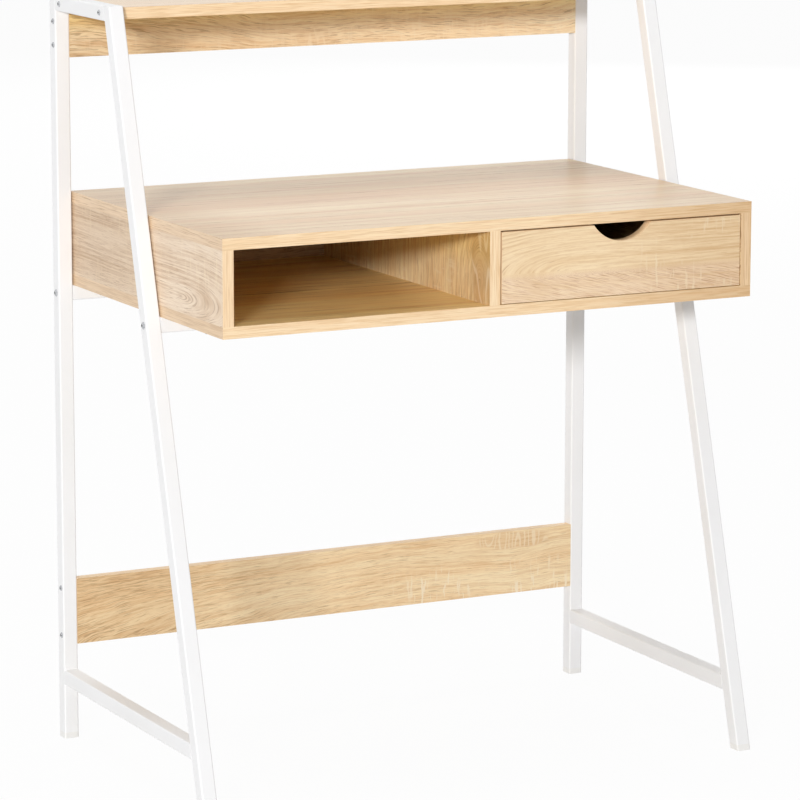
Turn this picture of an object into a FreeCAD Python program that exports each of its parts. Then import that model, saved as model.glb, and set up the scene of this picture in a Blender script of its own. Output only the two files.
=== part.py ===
import FreeCAD, Part
import Sketcher
import os
import re

# A ladder desk: two steel side frames, a desk body with one drawer, a shelf and two back boards.
# Millimetres, +Z up, front toward -Y, origin on the floor under the middle of the outer size.

# Driving sizes. Names that end in share are plain ratios.
SIZES = {
    "overall_width": 800,
    "overall_depth": 496,
    "overall_height": 1004,
    # Steel tube of the side frames and of the cross tubes.
    "tube": 20,
    "tube_wall": 1.5,
    "tube_round": 2,
    "end_plate": 4,
    "lean_share": 0.28,
    "foot_setback": 14,
    "foot_height": 8,
    "foot_plug": 22,
    "stretcher_height": 75,
    # Panels and boards.
    "board": 15,
    "top_height": 744,
    "body_height": 125,
    "body_gap": 2,
    "body_setback": 9,
    "back_thickness": 3,
    "back_inset": 3,
    "back_groove": 5,
    "upper_board_height": 64.5,
    "lower_board_base": 130,
    "lower_board_height": 90,
    # Clearances, and how far a cut runs past a face.
    "loose_gap": 0.3,
    "groove_gap": 0.4,
    "axle_gap": 0.05,
    "roller_gap": 0.3,
    "flange_gap": 0.5,
    "overrun": 5,
    # Screws of the frame: rails into the shelf, rear legs into the back boards.
    "screw_radius": 2,
    "screw_head_radius": 4,
    "screw_head_height": 2,
    "screw_bite": 28,
    "recess_length": 4.6,
    "recess_width": 1.1,
    "recess_depth": 1.2,
    "upper_screw_spacing": 31,
    "lower_screw_spacing": 65,
    "rail_screw_inset": 14,
    # Bolts through the legs into the cross tubes.
    "bolt_radius": 3,
    "bolt_head_radius": 5,
    "bolt_head_height": 2.4,
    "bolt_bite": 12,
    # Screws up through the cross tubes into the bottom, and through the bottom into the uprights.
    # Those of the rear tube sit forward of its middle, away from the edge of the bottom.
    "base_screw_share": 0.66,
    "base_screw_bite": 8,
    "base_screw_shift": 5,
    "joint_screw_bite": 35,
    "joint_inset": 60,
    "joint_rear_inset": 90,
    # Cam locks and their bolts, for the top and for the drawer front.
    "cam_radius": 7,
    "cam_length": 12,
    "cam_reach": 34,
    "cam_shift": 25,
    "cam_bolt_radius": 3,
    "cam_bolt_bite": 10,
    "drawer_cam_radius": 5.7,
    "drawer_cam_length": 9,
    "drawer_cam_reach": 24,
    "drawer_cam_share": 0.57,
    "drawer_cam_bolt_radius": 2.5,
    "drawer_cam_bolt_bite": 9,
    # Drawer.
    "drawer_gap": 2,
    "drawer_top_gap": 2,
    "drawer_bottom_gap": 1,
    "notch_chord": 84,
    "notch_depth": 22,
    "drawer_side": 12,
    "drawer_headroom": 19,
    "drawer_lift": 6,
    "drawer_rear_room": 46,
    "drawer_bottom_sheet": 3,
    "drawer_bottom_rise": 8,
    "drawer_groove": 6,
    "back_screw_low_share": 0.55,
    "back_screw_high_share": 0.83,
    # Roller runners.
    "runner_room": 13,
    "runner_rear_room": 18,
    "runner_sheet": 1.2,
    "runner_flange": 9,
    "runner_lift": 8,
    "runner_setback": 2,
    "runner_reach": 10,
    "runner_web_rise": 4,
    "runner_screw_inset": 60,
    "runner_screw_radius": 1.75,
    "runner_screw_head_radius": 3.2,
    "runner_screw_head_height": 1.6,
    "runner_screw_bite": 9,
    "roller_radius": 11,
    "roller_width": 4.4,
    "roller_near": 4.2,
    "roller_end": 14,
    "roller_clear": 4,
    "axle_radius": 2.5,
    "axle_head_radius": 4,
    "axle_head": 0.8,
    "axle_play": 0.2,
}

# Sizes that follow from the driving ones.
FOLLOWING = {
    "rear_y": "overall_depth / 2",
    "front_y": "-overall_depth / 2",
    "leg_x": "overall_width / 2 - tube / 2",
    "inner_x": "overall_width / 2 - tube",
    "rear_leg_y": "rear_y - tube / 2",
    "board_y": "rear_y - tube",
    "board_middle_y": "board_y + board / 2",
    "stretch_share": "sqrt(1 + lean_share ^ 2)",
    "leg_depth": "tube * stretch_share",
    "front_leg_y": "front_y + foot_setback + leg_depth / 2",
    "front_leg_back_y": "front_leg_y + leg_depth / 2",
    "leg_length": "overall_height - foot_height",
    "rail_z": "overall_height - tube / 2",
    "rail_length": "board_y - front_leg_back_y - lean_share * rail_z",
    "stretcher_z": "stretcher_height + tube / 2",
    "stretcher_length": "board_y - front_leg_back_y - lean_share * stretcher_z",
    "rail_screw_rear_y": "board_y - rail_screw_inset",
    "rail_screw_front_y": "board_y - rail_length + rail_screw_inset",
    "body_width": "overall_width - 2 * tube - 2 * body_gap",
    "body_x": "body_width / 2",
    "side_x": "body_x - board",
    "body_rear_y": "rear_y - body_setback",
    "body_depth": "body_rear_y - front_y",
    "bottom_z": "top_height - body_height",
    "floor_z": "bottom_z + board",
    "ceiling_z": "top_height - board",
    "panel_height": "ceiling_z - floor_z",
    "back_y": "body_rear_y - back_inset - back_thickness",
    "cross_z": "bottom_z - tube / 2",
    "front_cross_y": "front_leg_y + lean_share * cross_z",
    "shelf_base": "rail_z - board / 2",
    "shelf_front_y": "front_leg_y + lean_share * rail_z",
    "shelf_depth": "board_y + board - shelf_front_y",
    "upper_board_base": "shelf_base - upper_board_height",
    "upper_middle_z": "(upper_board_base + shelf_base) / 2",
    "upper_screw_low_z": "upper_middle_z - upper_screw_spacing / 2",
    "upper_screw_high_z": "upper_middle_z + upper_screw_spacing / 2",
    "lower_middle_z": "lower_board_base + lower_board_height / 2",
    "lower_screw_low_z": "lower_middle_z - lower_screw_spacing / 2",
    "lower_screw_high_z": "lower_middle_z + lower_screw_spacing / 2",
    "joint_front_y": "front_y + joint_inset",
    "joint_rear_y": "body_rear_y - joint_rear_inset",
    "joint_x": "side_x + board / 2",
    "cam_front_y": "joint_front_y + cam_shift",
    "cam_rear_y": "joint_rear_y + cam_shift",
    "base_screw_x": "base_screw_share * inner_x",
    "base_rear_y": "rear_leg_y - base_screw_shift",
    "cam_z": "ceiling_z - cam_reach",
    "opening_width": "side_x - board / 2",
    "drawer_x": "board / 2 + opening_width / 2",
    "face_width": "opening_width - 2 * drawer_gap",
    "face_height": "panel_height - drawer_bottom_gap - drawer_top_gap",
    "face_base": "floor_z + drawer_bottom_gap",
    "notch_radius": "(notch_chord ^ 2 / 4 + notch_depth ^ 2) / (2 * notch_depth)",
    "notch_z": "face_base + face_height - notch_depth + notch_radius",
    "box_x": "opening_width / 2 - runner_room",
    "box_front_y": "front_y + board",
    "box_rear_y": "back_y - drawer_rear_room",
    "drawer_length": "box_rear_y - box_front_y",
    "box_base": "floor_z + drawer_lift",
    "box_top": "ceiling_z - drawer_headroom",
    "drawer_side_height": "box_top - box_base",
    "box_side_middle_x": "box_x - drawer_side / 2",
    "box_back_middle_y": "box_rear_y - drawer_side / 2",
    "sheet_z": "box_base + drawer_bottom_rise",
    "sheet_slot": "drawer_bottom_sheet + groove_gap",
    "drawer_cam_z": "box_base + drawer_cam_share * drawer_side_height",
    "back_screw_low_z": "box_base + back_screw_low_share * drawer_side_height",
    "back_screw_high_z": "box_base + back_screw_high_share * drawer_side_height",
    "drawer_cam_y": "box_front_y + drawer_cam_reach",
    "runner_y": "box_front_y + runner_setback",
    "runner_length": "box_rear_y - runner_rear_room - runner_y",
    "runner_z": "floor_z + runner_lift",
    "runner_height": "2 * (runner_sheet + roller_radius + roller_gap)",
    "runner_middle_z": "runner_z + runner_height / 2",
    "runner_screw_front_y": "runner_y + runner_screw_inset",
    "runner_screw_rear_y": "runner_y + runner_length - runner_screw_inset",
    "roller_zone": "roller_end + roller_radius + roller_clear",
    "roller_far": "roller_near + roller_width",
    "drawer_flange_z": "runner_z + runner_height + flange_gap",
    "cabinet_roller_y": "runner_y + roller_end",
    "cabinet_roller_z": "drawer_flange_z - roller_gap - roller_radius",
    "drawer_roller_y": "runner_y + runner_length - roller_end",
    "drawer_roller_z": "runner_z + runner_sheet + roller_gap + roller_radius",
}

AXES = {
    "x": FreeCAD.Vector(1, 0, 0),
    "y": FreeCAD.Vector(0, 1, 0),
    "z": FreeCAD.Vector(0, 0, 1),
}
SIDES = {"left": -1, "right": 1}

doc = FreeCAD.newDocument("ladder_desk")
sheet = doc.addObject("Spreadsheet::Sheet", "Sizes")
nodes = []


def fill_sheet():
    """Writes the driving sizes as numbers and the following sizes as formulas."""
    rows = [(name, str(value)) for name, value in SIZES.items()]
    rows += [(name, "=" + text) for name, text in FOLLOWING.items()]
    for row, (name, content) in enumerate(rows, start=1):
        sheet.set(f"A{row}", name)
        sheet.set(f"B{row}", content)
        sheet.setAlias(f"B{row}", name)
    doc.recompute()


def formula(text):
    """Turns the size names in a text into references to the sheet."""

    def refer(match):
        word = match.group()
        return f"Sizes.{word}" if word in SIZES or word in FOLLOWING else word

    return re.sub("[a-z][a-z_]*", refer, text)


def amount(text):
    return float(sheet.evalExpression(formula(text)))


def bind(thing, path, text):
    thing.setExpression(path, formula(text))


def place(thing, at):
    for axis, text in zip("xyz", at):
        bind(thing, f"Placement.Base.{axis}", text)


def finish(thing, label, at=None):
    """Names a finished piece, puts it in its place and keeps it for the export."""
    thing.Label = label
    if at:
        place(thing, at)
    nodes.append(thing)


def from_corner(at, corner):
    return tuple(f"({point}) - ({start})" for point, start in zip(at, corner))


def signed(side, text):
    """The text on the right, its mirror image on the left."""
    return text if side > 0 else f"-({text})"


# Sketches and features of the tube pieces.


def blank_sketch(body, role):
    sketch = body.newObject("Sketcher::SketchObject", "sketch")
    plane = next(feature for feature in body.Origin.OriginFeatures if feature.Role == role)
    sketch.AttachmentSupport = [(plane, "")]
    sketch.MapMode = "FlatFace"
    return sketch


def fix_point(sketch, line, end, spot):
    """Ties one point of a sketch to the sheet."""
    for kind, crossing, text in zip(("DistanceX", "DistanceY"), (-2, -1), spot):
        if text == "0":
            sketch.addConstraint(Sketcher.Constraint("PointOnObject", line, end, crossing))
        else:
            rule = Sketcher.Constraint(kind, -1, 1, line, end, amount(text))
            number = sketch.addConstraint(rule)
            sketch.setExpression(f"Constraints[{number}]", formula(text))


def outline(body, role, corners):
    """A closed outline whose corners are tied to the sheet."""
    sketch = blank_sketch(body, role)
    spots = [FreeCAD.Vector(amount(across), amount(up), 0) for across, up in corners]
    for line, spot in enumerate(spots):
        sketch.addGeometry(Part.LineSegment(spot, spots[(line + 1) % len(spots)]), False)
    for line in range(len(spots)):
        sketch.addConstraint(Sketcher.Constraint("Coincident", line, 2, (line + 1) % len(spots), 1))
    for line, corner in enumerate(corners):
        fix_point(sketch, line, 1, corner)
    return sketch


def rectangle(body, role, half_across, half_up, middle="0"):
    """A rectangle about the sketch's origin, or with its middle moved up."""
    low = f"{middle} - ({half_up})"
    high = f"{middle} + ({half_up})"
    left = f"-({half_across})"
    return outline(body, role, [(left, low), (half_across, low), (half_across, high), (left, high)])


def circles(body, role, spots, radius):
    sketch = blank_sketch(body, role)
    for ring, spot in enumerate(spots):
        middle = FreeCAD.Vector(amount(spot[0]), amount(spot[1]), 0)
        sketch.addGeometry(Part.Circle(middle, AXES["z"], amount(radius)), False)
        number = sketch.addConstraint(Sketcher.Constraint("Radius", ring, amount(radius)))
        sketch.setExpression(f"Constraints[{number}]", formula(radius))
        fix_point(sketch, ring, 3, spot)
    return sketch


def extrude(body, kind, sketch, length=None, lean=None, both_ways=False):
    """A pad or pocket of a sketch. With no length it goes right through, and a lean makes it slant upward."""
    feature = body.newObject(f"PartDesign::{kind}", kind.lower())
    feature.Profile = sketch
    if both_ways:
        feature.SideType = "Symmetric"
    if length:
        bind(feature, "Length", length)
    else:
        feature.Type = "ThroughAll"
    if lean:
        feature.UseCustomVector = True
        feature.AlongSketchNormal = True
        feature.Direction = FreeCAD.Vector(0, amount(lean), 1)
        bind(feature, "Direction.y", lean)
    doc.recompute()
    return feature


def pierce(body, role, spots, radius):
    """Round holes right through a tube."""
    extrude(body, "Pocket", circles(body, role, spots, radius), both_ways=True)


def round_edges(body, feature, axis):
    """Rounds the long corners of a tube."""
    names = []
    for number, edge in enumerate(feature.Shape.Edges, start=1):
        run = edge.Vertexes[1].Point - edge.Vertexes[0].Point
        if max(AXES, key=lambda name: abs(run.dot(AXES[name]))) == axis:
            names.append(f"Edge{number}")
    rounded = body.newObject("PartDesign::Fillet", "round")
    rounded.Base = (feature, names)
    bind(rounded, "Radius", "tube_round")
    doc.recompute()
    return rounded


def leg(label, at, lean, stretch, wide_holes, fine_holes):
    """A tube leg, closed on top and open below for its foot."""
    body = doc.addObject("PartDesign::Body", label)
    square = rectangle(body, "XY_Plane", "tube / 2", f"tube / 2 * {stretch}")
    post = extrude(body, "Pad", square, "leg_length", lean)
    round_edges(body, post, "z")
    inside = rectangle(body, "XY_Plane", "tube / 2 - tube_wall", f"(tube / 2 - tube_wall) * {stretch}")
    extrude(body, "Pocket", inside, "leg_length - tube_wall", lean)
    pierce(body, "YZ_Plane", wide_holes, "bolt_radius + loose_gap")
    if fine_holes:
        pierce(body, "YZ_Plane", fine_holes, "screw_radius + loose_gap")
    finish(body, label, at)


def foot(label, at, lean, stretch):
    """A plastic foot: a block as wide as the leg with a plug that goes up into it."""
    body = doc.addObject("PartDesign::Body", label)
    block = rectangle(body, "XY_Plane", "tube / 2", f"tube / 2 * {stretch}")
    pad = extrude(body, "Pad", block, "foot_height", lean)
    round_edges(body, pad, "z")
    half = "tube / 2 - tube_wall - loose_gap"
    plug = rectangle(body, "XY_Plane", half, f"({half}) * {stretch}")
    extrude(body, "Pad", plug, "foot_height + foot_plug", lean)
    finish(body, label, at)


def rail(label, at, length, screw_spots):
    """A level tube from the rear leg to the slanted back of the front leg."""
    body = doc.addObject("PartDesign::Body", label)
    square = rectangle(body, "XZ_Plane", "tube / 2", "tube / 2")
    bar = extrude(body, "Pad", square, f"{length} + lean_share * tube")
    round_edges(body, bar, "y")
    inside = rectangle(body, "XZ_Plane", "tube / 2 - tube_wall", "tube / 2 - tube_wall")
    extrude(body, "Pocket", inside, both_ways=True)
    low = f"-({length} + lean_share * tube)"
    high = f"-({length} - lean_share * tube)"
    beyond = f"-({length} + lean_share * tube + overrun)"
    slant = outline(body, "YZ_Plane", [(low, "-tube"), (high, "tube"), (beyond, "tube"), (beyond, "-tube")])
    extrude(body, "Pocket", slant, both_ways=True)
    if screw_spots:
        pierce(body, "YZ_Plane", screw_spots, "screw_radius + loose_gap")
    finish(body, label, at)


def cross_tube(label, at, screw_y):
    """A tube between two legs, with an end plate at each end for its bolt and two screw holes from below."""
    body = doc.addObject("PartDesign::Body", label)
    square = rectangle(body, "YZ_Plane", "tube / 2", "tube / 2")
    bar = extrude(body, "Pad", square, "2 * inner_x", both_ways=True)
    round_edges(body, bar, "x")
    inside = rectangle(body, "YZ_Plane", "tube / 2 - tube_wall", "tube / 2 - tube_wall")
    extrude(body, "Pocket", inside, "2 * (inner_x - end_plate)", both_ways=True)
    pierce(body, "YZ_Plane", [("0", "0")], "bolt_radius + loose_gap")
    spots = [("-base_screw_x", screw_y), ("base_screw_x", screw_y)]
    pierce(body, "XY_Plane", spots, "screw_radius + loose_gap")
    finish(body, label, at)


# Blocks and round bars of the panels, runners and fasteners.


def block(at, size):
    box = doc.addObject("Part::Box", "block")
    for side, text in zip(("Length", "Width", "Height"), size):
        bind(box, side, text)
    place(box, at)
    return box


def rod(at, axis, length, radius):
    """A round bar that starts at a point and runs along +X, +Y or +Z."""
    bar = doc.addObject("Part::Cylinder", "rod")
    turn = FreeCAD.Rotation(AXES["z"], AXES[axis])
    bar.Placement = FreeCAD.Placement(FreeCAD.Vector(), turn)
    bind(bar, "Radius", radius)
    bind(bar, "Height", length)
    place(bar, at)
    return bar


def dome(at, way, height, radius):
    """The domed head of a screw driven along X. Its flat side is on the point."""
    cap = doc.addObject("Part::Sphere", "dome")
    turn = FreeCAD.Rotation(AXES["z"], AXES["x"] * -way)
    cap.Placement = FreeCAD.Placement(FreeCAD.Vector(), turn)
    ball = f"({radius} ^ 2 + {height} ^ 2) / (2 * {height})"
    bind(cap, "Radius", ball)
    bind(cap, "Angle1", f"asin(1 - {height} / ({ball}))")
    x, y, z = at
    place(cap, (f"{x} {'+' if way > 0 else '-'} ({ball} - {height})", y, z))
    return cap


def backed(at, axis, way, length):
    """Where a bar starts so that it leaves a point the given way along an axis."""
    if way > 0:
        return at
    return tuple(f"({text}) - ({length})" if name == axis else text for name, text in zip("xyz", at))


def joined(pieces):
    if len(pieces) == 1:
        return pieces[0]
    union = doc.addObject("Part::MultiFuse", "union")
    union.Shapes = pieces
    return union


def less(base, tools):
    if not tools:
        return base
    rest = doc.addObject("Part::Cut", "cut")
    rest.Base = base
    rest.Tool = joined(tools)
    return rest


def plank(label, corner, size, holes=(), slots=()):
    """A panel. Its holes and slots are given in the desk's frame."""
    base = block(("0", "0", "0"), size)
    tools = [rod(from_corner(at, corner), axis, length, radius) for at, axis, length, radius in holes]
    tools += [block(from_corner(at, corner), reach) for at, reach in slots]
    finish(less(base, tools), label, corner)


def hole(at, axis, way, length, radius):
    """A hole that goes the given way into a face, with a little run out of that face."""
    start = backed(at, axis, -way, "overrun")
    low = start if way > 0 else backed(at, axis, way, length)
    return low, axis, f"{length} + overrun", radius


def fasteners(label, spots, axis, length, size, recess=False):
    """A group of screws. Each spot is the point under its head and the way it is driven."""
    bars = []
    cuts = []
    head = f"{size}_head_height"
    for at, way in spots:
        bars.append(rod(backed(at, axis, way, length), axis, length, f"{size}_radius"))
        if recess:
            bars.append(dome(at, way, head, f"{size}_head_radius"))
            cuts += recess_bars(at, way, head)
        else:
            bars.append(rod(backed(at, axis, -way, head), axis, head, f"{size}_head_radius"))
    finish(less(joined(bars), cuts), label)


def recess_bars(at, way, head):
    """The cross recess in the outer face of a screw driven along X."""
    x, y, z = at
    reach = "recess_depth + overrun"
    start = f"{x} - ({head}) - overrun" if way > 0 else f"{x} + {head} - recess_depth"
    thin = "recess_width"
    wide = "recess_length"
    upright = block((start, f"{y} - {thin} / 2", f"{z} - {wide} / 2"), (reach, thin, wide))
    level = block((start, f"{y} - {wide} / 2", f"{z} - {thin} / 2"), (reach, wide, thin))
    return [upright, level]


fill_sheet()

# Side frames: legs, rails, stretchers and feet.

FRONT_LEG_BASE_Y = "front_leg_y + lean_share * foot_height"
BOARD_SCREWS_Z = ("lower_screw_low_z", "lower_screw_high_z", "upper_screw_low_z", "upper_screw_high_z")
RAIL_SCREWS_Y = ("rail_screw_rear_y", "rail_screw_front_y")
for side_name, side in SIDES.items():
    x = signed(side, "leg_x")
    bolt_rise = "cross_z - foot_height"
    screw_spots = [("board_middle_y - rear_leg_y", f"{z} - foot_height") for z in BOARD_SCREWS_Z]
    leg(f"{side_name}_rear_leg", (x, "rear_leg_y", "foot_height"), "0", "1", [("0", bolt_rise)], screw_spots)
    front_spots = [(f"lean_share * ({bolt_rise})", bolt_rise)]
    front_at = (x, FRONT_LEG_BASE_Y, "foot_height")
    leg(f"{side_name}_front_leg", front_at, "lean_share", "stretch_share", front_spots, [])
    rail_spots = [(f"{y} - board_y", "0") for y in RAIL_SCREWS_Y]
    rail(f"{side_name}_top_rail", (x, "board_y", "rail_z"), "rail_length", rail_spots)
    rail(f"{side_name}_stretcher", (x, "board_y", "stretcher_z"), "stretcher_length", [])
    foot(f"{side_name}_rear_foot", (x, "rear_leg_y", "0"), "0", "1")
    foot(f"{side_name}_front_foot", (x, "front_leg_y", "0"), "lean_share", "stretch_share")

cross_tube("rear_cross_tube", ("0", "rear_leg_y", "cross_z"), "-base_screw_shift")
cross_tube("front_cross_tube", ("0", "front_cross_y", "cross_z"), "0")

# Shelf and back boards, with the holes for the screws in their ends.

END_HOLE = ("screw_bite + loose_gap", "screw_radius + loose_gap")


def end_holes(spots):
    """Screw holes in both ends of a board, at the given points across it."""
    found = []
    for side in SIDES.values():
        for y, z in spots:
            found.append(hole((signed(side, "inner_x"), y, z), "x", -side, *END_HOLE))
    return found


def end_screws(label, spots):
    marks = []
    for side in SIDES.values():
        for y, z in spots:
            marks.append(((signed(side, "overall_width / 2"), y, z), -side))
    fasteners(label, marks, "x", "tube + screw_bite", "screw", recess=True)


shelf_spots = [(y, "rail_z") for y in RAIL_SCREWS_Y]
lower_spots = [("board_middle_y", z) for z in BOARD_SCREWS_Z[:2]]
upper_spots = [("board_middle_y", z) for z in BOARD_SCREWS_Z[2:]]
span = "2 * inner_x"
plank(
    "top_shelf",
    ("-inner_x", "shelf_front_y", "shelf_base"),
    (span, "shelf_depth", "board"),
    end_holes(shelf_spots),
)
plank(
    "upper_back_board",
    ("-inner_x", "board_y", "upper_board_base"),
    (span, "board", "upper_board_height"),
    end_holes(upper_spots),
)
plank(
    "lower_back_board",
    ("-inner_x", "board_y", "lower_board_base"),
    (span, "board", "lower_board_height"),
    end_holes(lower_spots),
)
end_screws("shelf_screws", shelf_spots)
end_screws("upper_board_screws", upper_spots)
end_screws("lower_board_screws", lower_spots)
bolt_marks = []
for side in SIDES.values():
    for y in ("rear_leg_y", "front_cross_y"):
        bolt_marks.append(((signed(side, "overall_width / 2"), y, "cross_z"), -side))
fasteners("cross_tube_bolts", bolt_marks, "x", "tube + bolt_bite", "bolt", recess=True)

# Desk body. The top and bottom cover the uprights, and the back sits in grooves of both.

JOINTS_Y = ("joint_front_y", "joint_rear_y")
JOINTS_X = ("-joint_x", "0", "joint_x")
BASE_SPOTS = [(x, y) for x in ("-base_screw_x", "base_screw_x") for y in ("base_rear_y", "front_cross_y")]
JOINT_SPOTS = [(x, y) for x in JOINTS_X for y in JOINTS_Y]
CAMS_Y = ("cam_front_y", "cam_rear_y")
CAM_SPOTS = [(x, y) for x in JOINTS_X for y in CAMS_Y]
SCREW_HOLE = "screw_radius + loose_gap"
CAM_BOLT_HOLE = "cam_bolt_radius + loose_gap"

bolt_holes = [hole((x, y, "ceiling_z"), "z", 1, "cam_bolt_bite", CAM_BOLT_HOLE) for x, y in CAM_SPOTS]
groove_y = "back_y - groove_gap / 2"
groove_size = ("body_width", "back_thickness + groove_gap", "back_groove + overrun")
plank(
    "desk_top",
    ("-body_x", "front_y", "ceiling_z"),
    ("body_width", "body_depth", "board"),
    bolt_holes,
    [(("-body_x", groove_y, "ceiling_z - overrun"), groove_size)],
)
base_reach = "base_screw_bite + loose_gap"
base_holes = [hole((x, y, "bottom_z"), "z", 1, base_reach, SCREW_HOLE) for x, y in BASE_SPOTS]
joint_holes = [hole((x, y, "bottom_z"), "z", 1, "board + overrun", SCREW_HOLE) for x, y in JOINT_SPOTS]
plank(
    "desk_bottom",
    ("-body_x", "front_y", "bottom_z"),
    ("body_width", "body_depth", "board"),
    base_holes + joint_holes,
    [(("-body_x", groove_y, "floor_z - back_groove"), groove_size)],
)


def upright_holes(x, face, way):
    """Holes of an upright: screws from below, cam bolts from above and cam locks in one face."""
    found = []
    for y in JOINTS_Y:
        found.append(hole((x, y, "floor_z"), "z", 1, "joint_screw_bite + loose_gap", SCREW_HOLE))
    for y in CAMS_Y:
        found.append(hole((x, y, "ceiling_z"), "z", -1, "cam_reach", CAM_BOLT_HOLE))
        found.append(hole((face, y, "cam_z"), "x", way, "cam_length", "cam_radius + loose_gap"))
    return found


def runner_holes(face, way):
    """Screw holes for a cabinet runner in an upright."""
    found = []
    for y in ("runner_screw_front_y", "runner_screw_rear_y"):
        at = (face, y, "runner_middle_z")
        found.append(hole(at, "x", way, "runner_screw_bite + loose_gap", "runner_screw_radius + loose_gap"))
    return found


upright = ("board", "body_depth", "panel_height")
plank("left_side_panel", ("-body_x", "front_y", "floor_z"), upright, upright_holes("-joint_x", "-side_x", -1))
right_holes = upright_holes("joint_x", "side_x", 1) + runner_holes("side_x", 1)
plank("right_side_panel", ("side_x", "front_y", "floor_z"), upright, right_holes)
divider_holes = upright_holes("0", "board / 2", -1) + runner_holes("board / 2", -1)
divider_size = ("board", "back_y - front_y", "panel_height")
plank("divider", ("-board / 2", "front_y", "floor_z"), divider_size, divider_holes)
back_size = ("2 * (side_x - loose_gap)", "back_thickness", "panel_height + 2 * back_groove - groove_gap")
plank("back_panel", ("-side_x + loose_gap", "back_y", "floor_z - back_groove"), back_size)

base_marks = [((x, y, "cross_z - tube / 2"), 1) for x, y in BASE_SPOTS]
fasteners("base_screws", base_marks, "z", "tube + base_screw_bite", "screw")
joint_marks = [((x, y, "bottom_z"), 1) for x, y in JOINT_SPOTS]
fasteners("bottom_screws", joint_marks, "z", "board + joint_screw_bite", "screw")

cam_bolts = [rod((x, y, "cam_z"), "z", "cam_reach + cam_bolt_bite", "cam_bolt_radius") for x, y in CAM_SPOTS]
finish(joined(cam_bolts), "cam_bolts")
cam_bodies = []
cam_slots = []
for x, face, way in (("-joint_x", "-side_x", -1), ("0", "board / 2", -1), ("joint_x", "side_x", 1)):
    for y in CAMS_Y:
        cam_at = backed((face, y, "cam_z"), "x", way, "cam_length")
        cam_bodies.append(rod(cam_at, "x", "cam_length", "cam_radius"))
        cam_slots.append(rod((x, y, "cam_z"), "z", "cam_radius + overrun", CAM_BOLT_HOLE))
finish(less(joined(cam_bodies), cam_slots), "cam_locks")

# Drawer: a face with a finger notch, two sides, a back and a thin bottom in grooves.

BOX_LEFT = "drawer_x - box_x"
BOX_RIGHT = "drawer_x + box_x"
SIDE_MIDDLES = ("drawer_x - box_side_middle_x", "drawer_x + box_side_middle_x")
BACK_SCREWS_Z = ("back_screw_low_z", "back_screw_high_z")
DRAWER_BOLT_HOLE = "drawer_cam_bolt_radius + loose_gap"
SHEET_X = "drawer_x - box_x + drawer_side - drawer_groove"

face_corner = ("drawer_x - face_width / 2", "front_y", "face_base")
notch = (("drawer_x", "front_y - overrun", "notch_z"), "y", "board + 2 * overrun", "notch_radius")
face_holes = [notch]
for x in SIDE_MIDDLES:
    at = (x, "box_front_y", "drawer_cam_z")
    face_holes.append(hole(at, "y", -1, "drawer_cam_bolt_bite", DRAWER_BOLT_HOLE))
face_slot_size = ("2 * (box_x - drawer_side + drawer_groove)", "drawer_groove + overrun", "sheet_slot")
face_slots = [((SHEET_X, "box_front_y - drawer_groove", "sheet_z"), face_slot_size)]
plank("drawer_front", face_corner, ("face_width", "board", "face_height"), face_holes, face_slots)

drawer_side_size = ("drawer_side", "drawer_length", "drawer_side_height")
drawer_groove_size = ("drawer_groove + overrun", "drawer_length + 2 * overrun", "sheet_slot")
drawer_bolt_length = "drawer_cam_bolt_bite + drawer_cam_reach"
back_marks = []
drawer_runner_marks = []
drawer_cams = []
drawer_cam_slots = []
drawer_bolts = []
for side_name, outer, middle, way in (
    ("left", BOX_LEFT, SIDE_MIDDLES[0], 1),
    ("right", BOX_RIGHT, SIDE_MIDDLES[1], -1),
):
    corner_x = outer if way > 0 else f"{outer} - drawer_side"
    inner = f"{outer} + drawer_side" if way > 0 else f"{outer} - drawer_side"
    groove_x = f"{inner} - drawer_groove" if way > 0 else f"{inner} - overrun"
    holes = [hole((middle, "box_front_y", "drawer_cam_z"), "y", 1, "drawer_cam_reach", DRAWER_BOLT_HOLE)]
    lock = (inner, "drawer_cam_y", "drawer_cam_z")
    holes.append(hole(lock, "x", -way, "drawer_cam_length", "drawer_cam_radius + loose_gap"))
    for z in BACK_SCREWS_Z:
        at = (outer, "box_back_middle_y", z)
        holes.append(hole(at, "x", way, "drawer_side + overrun", SCREW_HOLE))
        back_marks.append((at, way))
    for y in ("runner_screw_front_y", "runner_screw_rear_y"):
        at = (outer, y, "runner_middle_z")
        holes.append(hole(at, "x", way, "runner_screw_bite + loose_gap", "runner_screw_radius + loose_gap"))
        head_x = f"{outer} - runner_sheet" if way > 0 else f"{outer} + runner_sheet"
        drawer_runner_marks.append(((head_x, y, "runner_middle_z"), way))
    side_corner = (corner_x, "box_front_y", "box_base")
    groove = ((groove_x, "box_front_y - overrun", "sheet_z"), drawer_groove_size)
    plank(f"drawer_{side_name}_side", side_corner, drawer_side_size, holes, [groove])
    cam_at = backed(lock, "x", -way, "drawer_cam_length")
    drawer_cams.append(rod(cam_at, "x", "drawer_cam_length", "drawer_cam_radius"))
    slot_at = (middle, "drawer_cam_y - drawer_cam_radius - overrun", "drawer_cam_z")
    drawer_cam_slots.append(rod(slot_at, "y", "drawer_cam_radius + overrun", DRAWER_BOLT_HOLE))
    bolt_at = (middle, "box_front_y - drawer_cam_bolt_bite", "drawer_cam_z")
    drawer_bolts.append(rod(bolt_at, "y", drawer_bolt_length, "drawer_cam_bolt_radius"))

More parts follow.
